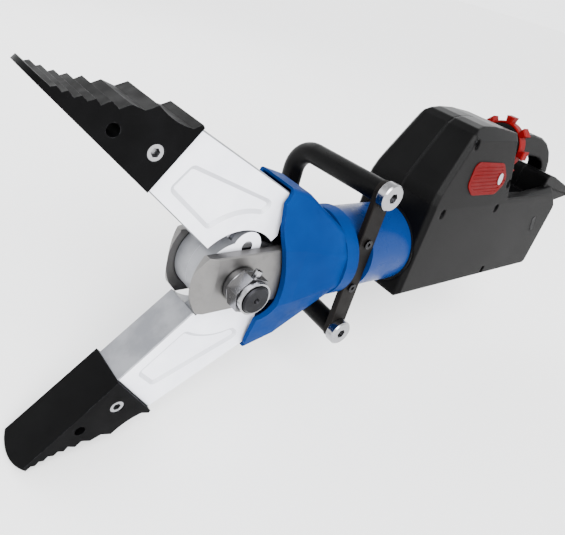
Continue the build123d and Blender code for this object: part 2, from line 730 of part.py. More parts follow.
# Housing ----------------------------------------------------------------------------------------------------------
OUTLINE = [
    (FRONT_X, BASE_Z), (FRONT_X, 85), (-280, 101), (-288, 116), (-298, 133), (-308, 150), (-318, 167), (-324, 177),
    (-334, 184), (-350, 187), (-380, 187), (-434, 181), (-452, 137), (-467, 85), (-530, 85), (-611, 94), (-641, 67),
    (REAR_X, 58), (REAR_X, -52), (-637, BASE_Z),
]
CAVITY = [
    (FRONT_X - WALL, FLOOR_Z), (FRONT_X - WALL, 84), (-284.5, 100), (-292.5, 115), (-302.5, 132), (-312.5, 149),
    (-322.5, 166), (-328, 174), (-336.5, 180), (-350, 183), (-380, 183), (-431, 177.5), (-448, 137), (-463, 66),
    (-637, 66), (REAR_X + WALL, 57), (REAR_X + WALL, -50), (-635, FLOOR_Z),
]
HUMP = [(-598, 80), (-598, 107), (-604, 112), (-622, 109), (-712, 81), (-710, 73), (-703, 70), (-640, 60), (-630, 60)]
HANDLE = [
    (-503, 133), (-503, 160), (-512, 167), (-560, 167.5), (-588, 163), (-613, 154), (-634, 141), (-650, 124),
    (-660, 105), (-664, 86), (-640, 86), (-637, 99), (-630, 112), (-619, 122), (-604, 128), (-585, 131), (-560, 132.5),
]
BULKHEAD_X = (-429.0, -424.0)
SHELF_Z = (58.0, 62.0)
VALVE_SHELF_Z = (127.0, 131.0)
MOTOR_R = 33.0
MOTOR_X = (-440.0, -345.0)
BOARD_Y = (-50.0, -48.0)
BADGE = [(-337, 110), (-342, 144), (-415, 141), (-438, 114), (-415, 95), (-354, 96)]


def flank_y(z):
    """Distance of the housing's side from the mid plane at height z."""
    return SIDE_Y - LEAN * max(0.0, z - LEAN_FROM_Z)


def beyond_flanks(inset):
    """What lies outside the leaning sides and the roof's slopes; inset moves it inside the outer skin."""
    with BuildPart() as beyond:
        for face in (1, -1):
            with BuildSketch(cross(REAR_X - 5)):
                with BuildLine():
                    Polyline(
                        (face * (SIDE_Y - inset), LEAN_FROM_Z),
                        (face * (flank_y(SHOULDER_Z) - inset), SHOULDER_Z),
                        (face * (ROOF_HALF - inset), ROOF_Z - inset),
                        (face * (ROOF_HALF - inset), ROOF_Z + 20),
                        (face * (SIDE_Y + 20), ROOF_Z + 20),
                        (face * (SIDE_Y + 20), LEAN_FROM_Z),
                        close=True,
                    )
                make_face()
            extrude(amount=FRONT_X - REAR_X + 10)
    return beyond.part


def is_rim(edge):
    """A side face's outer edge, as opposed to a crease along the tool."""
    along = abs((edge @ 1 - edge @ 0).X) > 0.999 * edge.length
    return not (along and edge.center().Z > PIVOT_Z + LEAN_FROM_Z - 1)


with BuildPart() as shell:
    with BuildSketch(side(SIDE_Y)):
        with BuildLine():
            Polyline(*OUTLINE, close=True)
        make_face()
    extrude(amount=2 * SIDE_Y)
    add(beyond_flanks(0), mode=Mode.SUBTRACT)
    flanks = shell.faces().filter_by(lambda face: abs(face.normal_at().Y) > 0.95)
    chamfer(flanks.edges().filter_by(is_rim), length=EDGE_BEVEL)

with BuildPart() as hollow:
    with BuildSketch(side(SIDE_Y - WALL)):
        with BuildLine():
            Polyline(*CAVITY, close=True)
        make_face()
    extrude(amount=2 * (SIDE_Y - WALL))
    add(beyond_flanks(WALL), mode=Mode.SUBTRACT)

BAY_REACH = BATTERY_Y + BAY_GAP
BAY_LOW = BATTERY_Z[0] - BAY_GAP
BAY_HIGH = BATTERY_Z[1] + BAY_GAP

with BuildPart() as inner_walls:
    # bulkhead and shelves
    box_between(BULKHEAD_X, (-SIDE_Y, SIDE_Y), (VALVE_SHELF_Z[0], ROOF_Z))
    box_between((-436, -400), (-SIDE_Y, SIDE_Y), VALVE_SHELF_Z)
    box_between((-420, -330), (-SIDE_Y, SIDE_Y), SHELF_Z)
    # motor cradle
    for x in (-426, -376):
        box_between((x, x + 6), (-26, 26), (BASE_Z, -18))
    # battery bay
    box_between((REAR_X, BATTERY_X[1] + 4), (-BAY_REACH - BAY_WALL, BAY_REACH + BAY_WALL),
                (BAY_LOW - BAY_WALL, BAY_HIGH + BAY_WALL))
    for y in (-34, 28):
        box_between((REAR_X, -520), (y, y + 6), (BASE_Z, BAY_LOW - 1))
    # posts behind the control board
    for x in (-496, -458):
        for z in (-26, 26):
            with BuildSketch(side(BOARD_Y[0])):
                with Locations((x, z)):
                    Circle(4)
            extrude(amount=BOARD_Y[0] + SIDE_Y)
    # screw columns
    for at in SCREWS_AT:
        with BuildSketch(side(SIDE_Y)):
            with Locations(at):
                Circle(7)
        extrude(amount=2 * SIDE_Y)
    add(shell.part, mode=Mode.INTERSECT)

# Rear handle: a loop and the neck that carries the star grip
with BuildPart() as rear_handle:
    with BuildSketch(side(GRIP_HALF)) as loop:
        with BuildLine():
            Polyline(*HANDLE, close=True)
        make_face()
        fillet(loop.vertices(), 3)
    extrude(amount=2 * GRIP_HALF)
    loop_faces = rear_handle.faces().sort_by(Axis.Y)
    chamfer(loop_faces[0].edges() + loop_faces[-1].edges(), length=2.5)
    with BuildSketch(cross(NECK_X[0])):
        with Locations((0, NECK_Z)):
            Circle(NECK_R)
    extrude(amount=NECK_X[1] - NECK_X[0])
finish(rear_handle, "rear_handle")

with BuildPart() as housing:
    add(shell.part)
    # hump that overhangs the battery
    with BuildSketch(side(HUMP_HALF)):
        with BuildLine():
            Polyline(*HUMP, close=True)
        make_face()
    extrude(amount=2 * HUMP_HALF)
    # space for the hand
    box_between((HAND_RECESS[0], HAND_RECESS[1]), (-HAND_RECESS[2], HAND_RECESS[2]), (HAND_RECESS[3], 100),
                mode=Mode.SUBTRACT)
    add(hollow.part, mode=Mode.SUBTRACT)
    add(inner_walls.part)
    # grooves along the hump's sides
    for y in (HUMP_HALF, -HUMP_HALF + 1.5):
        with BuildSketch(side(y)):
            with BuildLine():
                Polyline((-606, 93), (-606, 90), (-704, 71.5), (-704, 74.5), close=True)
            make_face()
        extrude(amount=1.5, mode=Mode.SUBTRACT)
    # seats of the rear handle and room for the grip's sleeve
    add(rear_handle.part, mode=Mode.SUBTRACT)
    with BuildSketch(cross(-470)):
        with Locations((0, NECK_Z)):
            Circle(SLEEVE_R + 0.3)
    extrude(amount=BULKHEAD_X[0] + 470, mode=Mode.SUBTRACT)
    # passages for the suction pipe, the motor and the contacts, and the bay's rear mouth
    box_between((-344, -328), (-8, 8), (SHELF_Z[0] - 1, SHELF_Z[1] + 1), mode=Mode.SUBTRACT)
    with BuildSketch(cross(MOTOR_X[0])):
        Circle(MOTOR_R)
    extrude(amount=MOTOR_X[1] - MOTOR_X[0], mode=Mode.SUBTRACT)
    box_between((REAR_X - 1, BATTERY_X[1] + BAY_GAP), (-BAY_REACH, BAY_REACH), (BAY_LOW, BAY_HIGH), mode=Mode.SUBTRACT)
    box_between((BATTERY_X[1], BATTERY_X[1] + 5), (-20, 20), (-11, 19), mode=Mode.SUBTRACT)
    # screw holes with sunk heads on the left
    for at in SCREWS_AT:
        with BuildSketch(side(flank_y(at[1]) + 3)):
            with Locations(at):
                SlotOverall(14, 2 * HEAD_R, rotation=90)
        extrude(amount=3 + HEAD_SINK, mode=Mode.SUBTRACT)
        with BuildSketch(side(flank_y(at[1]))):
            with Locations(at):
                Circle(HEAD_R)
        extrude(amount=HEAD_SINK + 4, mode=Mode.SUBTRACT)
        with BuildSketch(side(flank_y(at[1]))):
            with Locations(at):
                Circle(2.5)
        extrude(amount=flank_y(at[1]) + 25, mode=Mode.SUBTRACT)
    # hole for the cylinder and its seal
    with BuildSketch(cross(CYL_REAR - 6)):
        Circle(SEAL_R)
    extrude(amount=FRONT_X - CYL_REAR + 7, mode=Mode.SUBTRACT)
    # slot for the battery release
    with BuildSketch(side(SIDE_Y + 1)):
        with Locations(BUTTON_AT):
            SlotOverall(BUTTON_SIZE[0] + 0.6, BUTTON_SIZE[1] + 0.6, rotation=BUTTON_TILT)
    extrude(amount=WALL + 2, mode=Mode.SUBTRACT)

for name, face in (("housing_left", 1), ("housing_right", -1)):
    with BuildPart() as housing_half:
        add(housing.part)
        box_between((-780, -180), (min(0, face * 200), max(0, face * 200)), (-200, 300), mode=Mode.INTERSECT)
    finish(housing_half, name)

with BuildPart() as front_seal:
    with BuildSketch(cross(FRONT_X - WALL)):
        Circle(SEAL_R)
        Circle(CYL_R, mode=Mode.SUBTRACT)
    extrude(amount=WALL)
finish(front_seal, "front_seal")

with BuildPart() as housing_screws:
    for at in SCREWS_AT:
        head_y = flank_y(at[1]) - HEAD_SINK
        with BuildSketch(side(head_y)):
            with Locations(at):
                Circle(HEAD_R)
                RegularPolygon(2, 6, major_radius=False, mode=Mode.SUBTRACT)
        extrude(amount=2.5)
        with BuildSketch(side(head_y - 2.5)):
            with Locations(at):
                Circle(HEAD_R)
        extrude(amount=1.5)
        with BuildSketch(side(head_y - 4)):
            with Locations(at):
                Circle(2.5)
        extrude(amount=head_y + 20)
finish(housing_screws, "housing_screws")

LEAN_ANGLE = atan(LEAN)
BADGE_X = -388.0
BADGE_Z = 118.0
BADGE_HEIGHT = 1.4
STUD_AT = (-416.0, 0.0)


def on_flank(lift):
    """The leaning left side, lifted outward: X forward and Y up the slope from BADGE_Z."""
    return Plane(
        origin=(PIVOT_X, flank_y(BADGE_Z) + lift * cos(LEAN_ANGLE), PIVOT_Z + BADGE_Z + lift * sin(LEAN_ANGLE)),
        x_dir=(1, 0, 0),
        z_dir=(0, -cos(LEAN_ANGLE), -sin(LEAN_ANGLE)),
    )


with BuildPart() as side_badges:
    with BuildSketch(on_flank(BADGE_HEIGHT)) as badge_face:
        with BuildLine():
            Polyline(*[(x, z - BADGE_Z) for x, z in BADGE], close=True)
        make_face()
        fillet(badge_face.vertices(), 13)
    extrude(amount=BADGE_HEIGHT)
    # ribs lie between shallow grooves
    with BuildSketch(on_flank(BADGE_HEIGHT)) as grooves:
        with BuildLine():
            Polyline(*[(x, z - BADGE_Z) for x, z in BADGE], close=True)
        make_face()
        offset(amount=-5, mode=Mode.REPLACE)
        with Locations((BADGE_X, 0)):
            with GridLocations(1, 5.2, 1, 11):
                Rectangle(130, 3, mode=Mode.SUBTRACT)
        with Locations(STUD_AT):
            Ellipse(7.5, 11, mode=Mode.SUBTRACT)
    extrude(amount=0.7, mode=Mode.SUBTRACT)
    mirror(about=Plane.XZ)
finish(side_badges, "side_badges")

with BuildPart() as badge_studs:
    with BuildSketch(on_flank(BADGE_HEIGHT + 1)):
        with Locations(STUD_AT):
            Ellipse(5.5, 8.5)
    extrude(amount=1)
    mirror(about=Plane.XZ)
finish(badge_studs, "badge_studs")

# Pump, motor, reservoir and electronics ---------------------------------------------------------------------------
SHAFT_R = 4.0
PUMP_X = (MOTOR_X[1], CYL_REAR)

with BuildPart() as pump_block:
    box_between(PUMP_X, (-38, 38), (-40, 40))
    chamfer(pump_block.edges().filter_by(Axis.X), length=8)
    with BuildSketch(cross(PUMP_X[0])):
        Circle(SHAFT_R + RUN)
    extrude(amount=30, mode=Mode.SUBTRACT)
    with BuildSketch(plan(20, -336)):
        Circle(5)
    extrude(amount=30, mode=Mode.SUBTRACT)
finish(pump_block, "pump_block")

with BuildPart() as suction_pipe:
    with BuildSketch(plan(20, -336)):
        Circle(5)
        Circle(3, mode=Mode.SUBTRACT)
    extrude(amount=SHELF_Z[1] - 20)
finish(suction_pipe, "suction_pipe")

with BuildPart() as reservoir:
    box_between((-424, -325), (-42, 42), (SHELF_Z[1], 124))
    fillet(reservoir.edges().filter_by(Axis.Z), radius=12)
    fillet(reservoir.faces().sort_by(Axis.Z)[-1].edges(), radius=6)
    box_between((-418, -331), (-36, 36), (SHELF_Z[1] + 5, 118), mode=Mode.SUBTRACT)
    with BuildSketch(plan(SHELF_Z[1] - 1, -336)):
        Circle(3)
    extrude(amount=8, mode=Mode.SUBTRACT)
finish(reservoir, "oil_reservoir")

with BuildPart() as valve_block:
    box_between((BULKHEAD_X[1], -402), (-18, 18), (VALVE_SHELF_Z[1], 164))
    chamfer(valve_block.edges().filter_by(Axis.X), length=2)
finish(valve_block, "valve_block")

with BuildPart() as motor_case:
    with BuildSketch(cross(MOTOR_X[0])):
        Circle(MOTOR_R)
    extrude(amount=MOTOR_X[1] - MOTOR_X[0])
    chamfer(motor_case.edges().group_by(Axis.X)[0], length=3)
    with BuildSketch(cross(MOTOR_X[0] + 5)):
        Circle(MOTOR_R - 4)
    extrude(amount=MOTOR_X[1] - MOTOR_X[0] - 10, mode=Mode.SUBTRACT)
    with BuildSketch(cross(MOTOR_X[0] - 1)):
        Circle(SHAFT_R + RUN)
    extrude(amount=MOTOR_X[1] - MOTOR_X[0] + 2, mode=Mode.SUBTRACT)
finish(motor_case, "motor_case")

with BuildPart() as motor_stator:
    with BuildSketch(cross(MOTOR_X[0] + 20)):
        Circle(MOTOR_R - 4)
        Circle(17, mode=Mode.SUBTRACT)
        with PolarLocations(23, 9):
            Rectangle(8, 4, mode=Mode.SUBTRACT)
    extrude(amount=50)
finish(motor_stator, "motor_stator")

with BuildPart() as motor_rotor:
    with BuildSketch(cross(MOTOR_X[0] + 20)):
        Circle(16)
        Circle(SHAFT_R, mode=Mode.SUBTRACT)
    extrude(amount=50)
finish(motor_rotor, "motor_rotor")

with BuildPart() as motor_shaft:
    with BuildSketch(cross(MOTOR_X[0] - 8)):
        Circle(SHAFT_R)
    extrude(amount=MOTOR_X[1] - MOTOR_X[0] + 8 + 28)
finish(motor_shaft, "motor_shaft")

with BuildPart() as control_board:
    box_between((-502, -452), BOARD_Y, (-36, 36))
finish(control_board, "control_board")

with BuildPart() as board_chips:
    for x, z, size in ((-487, 12, 14), (-466, 12, 10), (-477, -14, 18)):
        box_between((x - size / 2, x + size / 2), (BOARD_Y[1], BOARD_Y[1] + 3), (z - size / 2, z + size / 2))
finish(board_chips, "board_chips")

with BuildPart() as battery_contacts:
    box_between((BATTERY_X[1] + BAY_GAP, BATTERY_X[1] + 12), (-20, 20), (-11, 19))
    for y in (-12, 0, 12):
        box_between((BATTERY_X[1] + 12, BATTERY_X[1] + 18), (y - 3, y + 3), (-8, 16))
finish(battery_contacts, "battery_contacts")

# Star grip --------------------------------------------------------------------------------------------------------
with BuildPart() as star_rim:
    with BuildSketch(cross(STAR_X[0])):
        with Locations((0, NECK_Z)):
            Circle(STAR_ROOT_R)
            with PolarLocations(0, STAR_LOBES):
                Polygon(
                    (STAR_ROOT_R - 2, -LOBE_W[0] / 2),
                    (STAR_R, -LOBE_W[1] / 2),
                    (STAR_R, LOBE_W[1] / 2),
                    (STAR_ROOT_R - 2, LOBE_W[0] / 2),
                    align=None,
                )
            Circle(STAR_HUB_R, mode=Mode.SUBTRACT)
    extrude(amount=STAR_X[1] - STAR_X[0])
    chamfer(star_rim.edges().group_by(Axis.X)[0], length=1.5)
    chamfer(star_rim.edges().group_by(Axis.X)[-1], length=1.5)
finish(star_rim, "star_grip_rim")

with BuildPart() as star_hub:
    with BuildSketch(cross(STAR_X[0] - 1)):
        with Locations((0, NECK_Z)):
            Circle(STAR_HUB_R)
            Circle(NECK_R + RUN, mode=Mode.SUBTRACT)
    extrude(amount=STAR_X[1] - STAR_X[0] + 2)
    with BuildSketch(cross(STAR_X[0] - 1)):
        with Locations((0, NECK_Z)):
            with PolarLocations(22, STAR_LOBES):
                Circle(3)
    extrude(amount=3, mode=Mode.SUBTRACT)
finish(star_hub, "star_grip_hub")

with BuildPart() as grip_sleeve:
    with BuildSketch(cross(STAR_X[1] + 1)):
        with Locations((0, NECK_Z)):
            Circle(SLEEVE_R)
            Circle(NECK_R + RUN, mode=Mode.SUBTRACT)
    extrude(amount=NECK_X[1] - STAR_X[1] - 1 - 5)
finish(grip_sleeve, "star_grip_sleeve")

# Battery ----------------------------------------------------------------------------------------------------------
with BuildPart() as battery_case:
    box_between((BATTERY_X[0] + 5, BATTERY_X[1]), (-BATTERY_Y, BATTERY_Y), BATTERY_Z)
    fillet(battery_case.edges().filter_by(Axis.X), radius=5)
    box_between((BATTERY_X[0] + 4, BATTERY_X[1] - CASE_WALL), (-BATTERY_Y + CASE_WALL, BATTERY_Y - CASE_WALL),
                (BATTERY_Z[0] + CASE_WALL, BATTERY_Z[1] - CASE_WALL), mode=Mode.SUBTRACT)
finish(battery_case, "battery_case")

with BuildPart() as battery_end_cap:
    box_between((BATTERY_X[0] - 1, BATTERY_X[0] + 5), (-BATTERY_Y, BATTERY_Y), BATTERY_Z)
    fillet(battery_end_cap.edges().filter_by(Axis.X), radius=5)
    box_between((BATTERY_X[0] - 11, BATTERY_X[0]), (-24, 24), (BATTERY_Z[1] - 18, BATTERY_Z[1] - 6))
    chamfer(battery_end_cap.faces().sort_by(Axis.X)[0].edges(), length=2)
finish(battery_end_cap, "battery_end_cap")

cell_centre = (0, (BATTERY_Z[0] + BATTERY_Z[1]) / 2)

with BuildPart() as battery_cells:
    for start, end in CELL_X:
        with BuildSketch(cross(start)):
            with Locations(cell_centre):
                with GridLocations(CELL_PITCH, CELL_PITCH, 4, 4):
                    Circle(CELL_R)
        extrude(amount=end - start)
finish(battery_cells, "battery_cells")

with BuildPart() as cell_holders:
    for start, end in CELL_X:
        for x in (start + 5, end - 9):
            with BuildSketch(cross(x)):
                with Locations(cell_centre):
                    Rectangle(2 * (BATTERY_Y - CASE_WALL), BATTERY_Z[1] - BATTERY_Z[0] - 2 * CASE_WALL)
                    with GridLocations(CELL_PITCH, CELL_PITCH, 4, 4):
                        Circle(CELL_R, mode=Mode.SUBTRACT)
            extrude(amount=4)
finish(cell_holders, "cell_holders")

with BuildPart() as battery_release:
    with BuildSketch(side(SIDE_Y + 0.5)):
        with Locations(BUTTON_AT):
            SlotOverall(BUTTON_SIZE[0], BUTTON_SIZE[1], rotation=BUTTON_TILT)
    extrude(amount=WALL + 1)
    with BuildSketch(side(SIDE_Y - WALL - 0.5)):
        with Locations(BUTTON_AT):
            SlotOverall(BUTTON_SIZE[0] + 5, BUTTON_SIZE[1] + 5, rotation=BUTTON_TILT)
    extrude(amount=2.5)
finish(battery_release, "battery_release")

SPRING_TOP_Y = SIDE_Y - WALL - 3 - BUTTON_TRAVEL - 0.3

with BuildPart() as release_spring:
    with BuildSketch(side(SPRING_TOP_Y)):
        with Locations(BUTTON_AT):
            Circle(4)
            Circle(3, mode=Mode.SUBTRACT)
    extrude(amount=SPRING_TOP_Y - (BATTERY_Y + BAY_GAP + BAY_WALL))
finish(release_spring, "release_spring")
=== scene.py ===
import json
import math

import bpy
from mathutils import Matrix, Vector


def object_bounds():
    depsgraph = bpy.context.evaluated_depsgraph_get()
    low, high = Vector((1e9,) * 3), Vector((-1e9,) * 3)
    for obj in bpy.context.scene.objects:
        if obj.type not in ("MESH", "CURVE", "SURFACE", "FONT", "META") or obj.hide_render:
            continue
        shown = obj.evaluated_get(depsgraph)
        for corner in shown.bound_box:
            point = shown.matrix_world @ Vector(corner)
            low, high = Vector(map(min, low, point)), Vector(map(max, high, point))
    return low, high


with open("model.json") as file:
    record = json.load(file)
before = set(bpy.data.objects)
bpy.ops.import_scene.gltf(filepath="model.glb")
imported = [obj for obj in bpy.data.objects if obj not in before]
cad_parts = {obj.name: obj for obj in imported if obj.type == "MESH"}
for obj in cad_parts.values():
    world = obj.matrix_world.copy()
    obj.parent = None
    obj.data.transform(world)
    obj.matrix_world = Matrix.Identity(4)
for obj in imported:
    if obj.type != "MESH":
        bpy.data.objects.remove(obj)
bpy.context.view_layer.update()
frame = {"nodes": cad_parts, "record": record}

# Battery rescue spreader: finishes, floor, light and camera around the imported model. Metres.

nodes = frame["nodes"]
PIVOT = Vector((0.462, 0.0, 0.060))
MM = 0.001

# Broad sides face across the tool. A face is broad where its normal's part across is above HIGH, none below LOW.
ACROSS = 1
ARM_BROAD_LOW, ARM_BROAD_HIGH = 0.80, 0.92
TIP_BROAD_LOW, TIP_BROAD_HIGH = 0.55, 0.90
SHELL_BROAD_LOW, SHELL_BROAD_HIGH = 0.90, 0.97


# Node-tree helpers ----------------------------------------------------------------------------------------------
class Finish:
    """A procedural material, built up by short calls. Every call but surface returns an output socket."""

    def __init__(self, name):
        self.material = bpy.data.materials.new(name)
        self.material.use_nodes = True
        self.tree = self.material.node_tree
        self.tree.nodes.clear()
        self.out = self.tree.nodes.new("ShaderNodeOutputMaterial")
        self.shader = self.tree.nodes.new("ShaderNodeBsdfPrincipled")
        self.tree.links.new(self.shader.outputs[0], self.out.inputs["Surface"])
        self.place = self.tree.nodes.new("ShaderNodeTexCoord").outputs["Object"]

    def put(self, socket, value):
        if hasattr(value, "is_output"):
            self.tree.links.new(value, socket)
        else:
            socket.default_value = value

    def stretch(self, scale):
        node = self.tree.nodes.new("ShaderNodeMapping")
        self.put(node.inputs["Vector"], self.place)
        self.put(node.inputs["Scale"], scale)
        return node.outputs[0]

    def noise(self, scale, detail=4.0, rough=0.55, at=None, distortion=0.0):
        node = self.tree.nodes.new("ShaderNodeTexNoise")
        self.put(node.inputs["Vector"], at or self.place)
        for key, value in (("Scale", scale), ("Detail", detail), ("Roughness", rough), ("Distortion", distortion)):
            self.put(node.inputs[key], value)
        return node.outputs["Fac"]

    def cells(self, scale):
        node = self.tree.nodes.new("ShaderNodeTexVoronoi")
        self.put(node.inputs["Vector"], self.place)
        self.put(node.inputs["Scale"], scale)
        return node.outputs["Distance"]

    def math(self, kind, a, b=0.0):
        node = self.tree.nodes.new("ShaderNodeMath")
        node.operation = kind
        self.put(node.inputs[0], a)
        self.put(node.inputs[1], b)
        return node.outputs[0]

    def ramp(self, value, low, high, to_low=0.0, to_high=1.0):
        node = self.tree.nodes.new("ShaderNodeMapRange")
        node.interpolation_type = "SMOOTHSTEP"
        for key, number in ((0, value), (1, low), (2, high), (3, to_low), (4, to_high)):
            self.put(node.inputs[key], number)
        return node.outputs[0]

    def mix(self, factor, a, b):
        node = self.tree.nodes.new("ShaderNodeMix")
        node.data_type = "RGBA"
        self.put(node.inputs["Factor"], factor)
        self.put(node.inputs["A"], (*a, 1.0) if isinstance(a, tuple) else a)
        self.put(node.inputs["B"], (*b, 1.0) if isinstance(b, tuple) else b)
        return node.outputs["Result"]

    def facing(self, index):
        """A component of the surface's own normal, at rest."""
        node = self.tree.nodes.new("ShaderNodeNewGeometry")
        turn = self.tree.nodes.new("ShaderNodeVectorTransform")
        turn.vector_type = "NORMAL"
        turn.convert_from, turn.convert_to = "WORLD", "OBJECT"
        self.put(turn.inputs[0], node.outputs["True Normal"])
        parts = self.tree.nodes.new("ShaderNodeSeparateXYZ")
        self.put(parts.inputs[0], turn.outputs[0])
        return parts.outputs[index]

    def rounded(self, radius, samples):
        """The normal as if the edges were rounded."""
        node = self.tree.nodes.new("ShaderNodeBevel")
        node.samples = samples
        self.put(node.inputs["Radius"], radius)
        return node.outputs[0]

    def edges(self, radius, low=0.02, high=0.16):
        """1 along edges, 0 on flats, from how far a rounded normal turns off the true one."""
        dot = self.tree.nodes.new("ShaderNodeVectorMath")
        dot.operation = "DOT_PRODUCT"
        self.put(dot.inputs[0], self.rounded(radius, 6))
        self.put(dot.inputs[1], self.tree.nodes.new("ShaderNodeNewGeometry").outputs["Normal"])
        return self.ramp(self.math("SUBTRACT", 1.0, dot.outputs["Value"]), low, high)

    def recess_shade(self, reach, low=0.45, high=0.85):
        """1 deep inside recesses, 0 in the open, from how much of its surroundings a point sees; used to paint shade
        into recesses.
        """
        node = self.tree.nodes.new("ShaderNodeAmbientOcclusion")
        node.samples = 8
        self.put(node.inputs["Distance"], reach)
        return self.ramp(node.outputs["AO"], low, high, 1.0, 0.0)

    def bump(self, height, distance, strength, radius):
        node = self.tree.nodes.new("ShaderNodeBump")
        self.put(node.inputs["Height"], height)
        self.put(node.inputs["Distance"], distance)
        self.put(node.inputs["Strength"], strength)
        self.put(node.inputs["Normal"], self.rounded(radius, 4))
        return node.outputs[0]

    def blend(self, a, share_a, b, share_b):
        """Two heights or fields added in the given shares."""
        return self.math("ADD", self.math("MULTIPLY", a, share_a), self.math("MULTIPLY", b, share_b))

    def surface(self, **values):
        names = {"color": "Base Color", "rough": "Roughness", "metal": "Metallic", "normal": "Normal",
                 "specular": "Specular IOR Level"}
        for key, value in values.items():
            self.put(self.shader.inputs[names[key]], (*value, 1.0) if isinstance(value, tuple) else value)
        return self.material


# Finishes -------------------------------------------------------------------------------------------------------
def shade(color, factor):
    return tuple(factor * c for c in color)


def cast_paint(name, color, deep, worn, rough, chip, specular):
    """Sprayed or anodised casting: slight orange peel, faint clouding, chips along its edges."""
    f = Finish(name)
    cloud = f.noise(9.0, 5.0)
    tone = f.mix(f.ramp(cloud, 0.35, 0.7), color, deep)
    grime = f.ramp(f.noise(34.0, 8.0, 0.7), 0.56, 0.74)
    tone = f.mix(f.math("MULTIPLY", grime, 0.35), tone, shade(color, 0.45))
    chips = f.math("MULTIPLY", f.edges(1.2 * MM), f.ramp(f.noise(160.0, 6.0, 0.7), 0.52, 0.62))
    chips = f.math("MULTIPLY", chips, chip)
    tone = f.mix(chips, tone, worn)
    peel = f.noise(900.0, 2.0)
    scratch = f.noise(220.0, 3.0, at=f.stretch((0.25, 3.0, 3.0)))
    height = f.blend(peel, 0.6, scratch, 0.25)
    gloss = f.ramp(f.noise(46.0, 6.0, 0.65), 0.3, 0.75, rough - 0.08, rough + 0.14)
    return f.surface(color=tone, rough=gloss, metal=f.math("MULTIPLY", chips, 0.9), specular=specular,
                     normal=f.bump(height, 0.08 * MM, 0.5, 0.7 * MM))


def machined(name, color, rough, dark=0.55, tarnish=0.35):
    """Turned or milled metal: fine tool lines, faint oil staining, bright edges, painted shade in recesses."""
    f = Finish(name)
    stain = f.ramp(f.noise(26.0, 7.0, 0.65), 0.42, 0.72)
    tone = f.mix(f.math("MULTIPLY", stain, tarnish), color, shade(color, dark))
    bright = tuple(min(1.0, 1.25 * c + 0.05) for c in color)
    tone = f.mix(f.math("MULTIPLY", f.edges(0.8 * MM), 0.7), tone, bright)
    # Painted shade: recesses darkened to a small share of the base colour.
    tone = f.mix(f.math("MULTIPLY", f.recess_shade(5.0 * MM), 0.92), tone, shade(color, 0.08))
    tool = f.noise(420.0, 3.0, at=f.stretch((1.0, 12.0, 1.0)))
    fine = f.noise(2400.0, 2.0)
    gloss = f.math("ADD", f.ramp(stain, 0.0, 1.0, rough, rough + 0.16), f.math("MULTIPLY", tool, 0.08))
    height = f.blend(tool, 0.7, fine, 0.15)
    return f.surface(color=tone, rough=gloss, metal=1.0, normal=f.bump(height, 0.03 * MM, 0.5, 0.4 * MM))


def moulded(name, color, grain=1500.0, depth=0.10, rough=0.5, scuff=(0.05, 0.05, 0.052), amount=0.5, specular=0.22):
    """Injection-moulded plastic: pebbled grain, light scuffs, paler rubbed edges."""
    f = Finish(name)
    cloud = f.ramp(f.noise(14.0, 5.0), 0.35, 0.7)
    tone = f.mix(f.math("MULTIPLY", cloud, 0.35), color, shade(color, 1.5))
    rub = f.math("MULTIPLY", f.edges(1.2 * MM), f.ramp(f.noise(120.0, 6.0, 0.7), 0.44, 0.66))
    streak = f.ramp(f.noise(60.0, 8.0, 0.75, at=f.stretch((0.5, 2.0, 4.0)), distortion=0.6), 0.66, 0.72)
    wear = f.math("MULTIPLY", f.math("MAXIMUM", rub, f.math("MULTIPLY", streak, 0.35)), amount)
    tone = f.mix(wear, tone, scuff)
    pebble = f.cells(grain)
    gloss = f.ramp(f.noise(40.0, 6.0), 0.3, 0.7, rough - 0.06, rough + 0.12)
    return f.surface(color=tone, rough=gloss, specular=specular,
                     normal=f.bump(pebble, depth * MM, 0.55, 0.8 * MM))


def arm_finish():
    """Pale coat on the arm's two broad faces, bare grey forging round its sides."""
    f = Finish("arm_finish")
    face = f.ramp(f.math("ABSOLUTE", f.facing(ACROSS)), ARM_BROAD_LOW, ARM_BROAD_HIGH)
    cloud = f.noise(16.0, 6.0, 0.6)
    coat_tone = f.mix(f.ramp(cloud, 0.35, 0.7), (0.80, 0.81, 0.87), (0.71, 0.72, 0.79))
    rubbed = f.ramp(f.noise(55.0, 8.0, 0.72, at=f.stretch((1.0, 1.0, 3.0)), distortion=0.5), 0.60, 0.74)
    coat_tone = f.mix(f.math("MULTIPLY", rubbed, 0.30), coat_tone, (0.55, 0.56, 0.60))
    bare = f.mix(f.ramp(f.noise(30.0, 6.0), 0.38, 0.68), (0.215, 0.22, 0.235), (0.15, 0.155, 0.17))
    tone = f.mix(face, bare, coat_tone)
    chips = f.math("MULTIPLY", f.edges(1.0 * MM), f.ramp(f.noise(150.0, 6.0, 0.7), 0.50, 0.62))
    tone = f.mix(f.math("MULTIPLY", chips, 0.7), tone, (0.24, 0.245, 0.26))
    # Painted shade: pockets and grooves darkened toward grey.
    tone = f.mix(f.math("MULTIPLY", f.recess_shade(7.0 * MM, 0.4, 0.95), 0.5), tone, (0.16, 0.165, 0.18))
    grit = f.noise(1300.0, 3.0)
    mill = f.noise(300.0, 3.0, at=f.stretch((1.0, 10.0, 1.0)))
    height = f.blend(grit, 0.5, mill, 0.4)
    gloss = f.math("ADD", f.ramp(cloud, 0.3, 0.7, 0.36, 0.48), f.math("MULTIPLY", rubbed, -0.06))
    metal = f.ramp(face, 0.0, 1.0, 0.6, 0.15)
    return f.surface(color=tone, rough=gloss, metal=metal, normal=f.bump(height, 0.05 * MM, 0.5, 0.6 * MM))


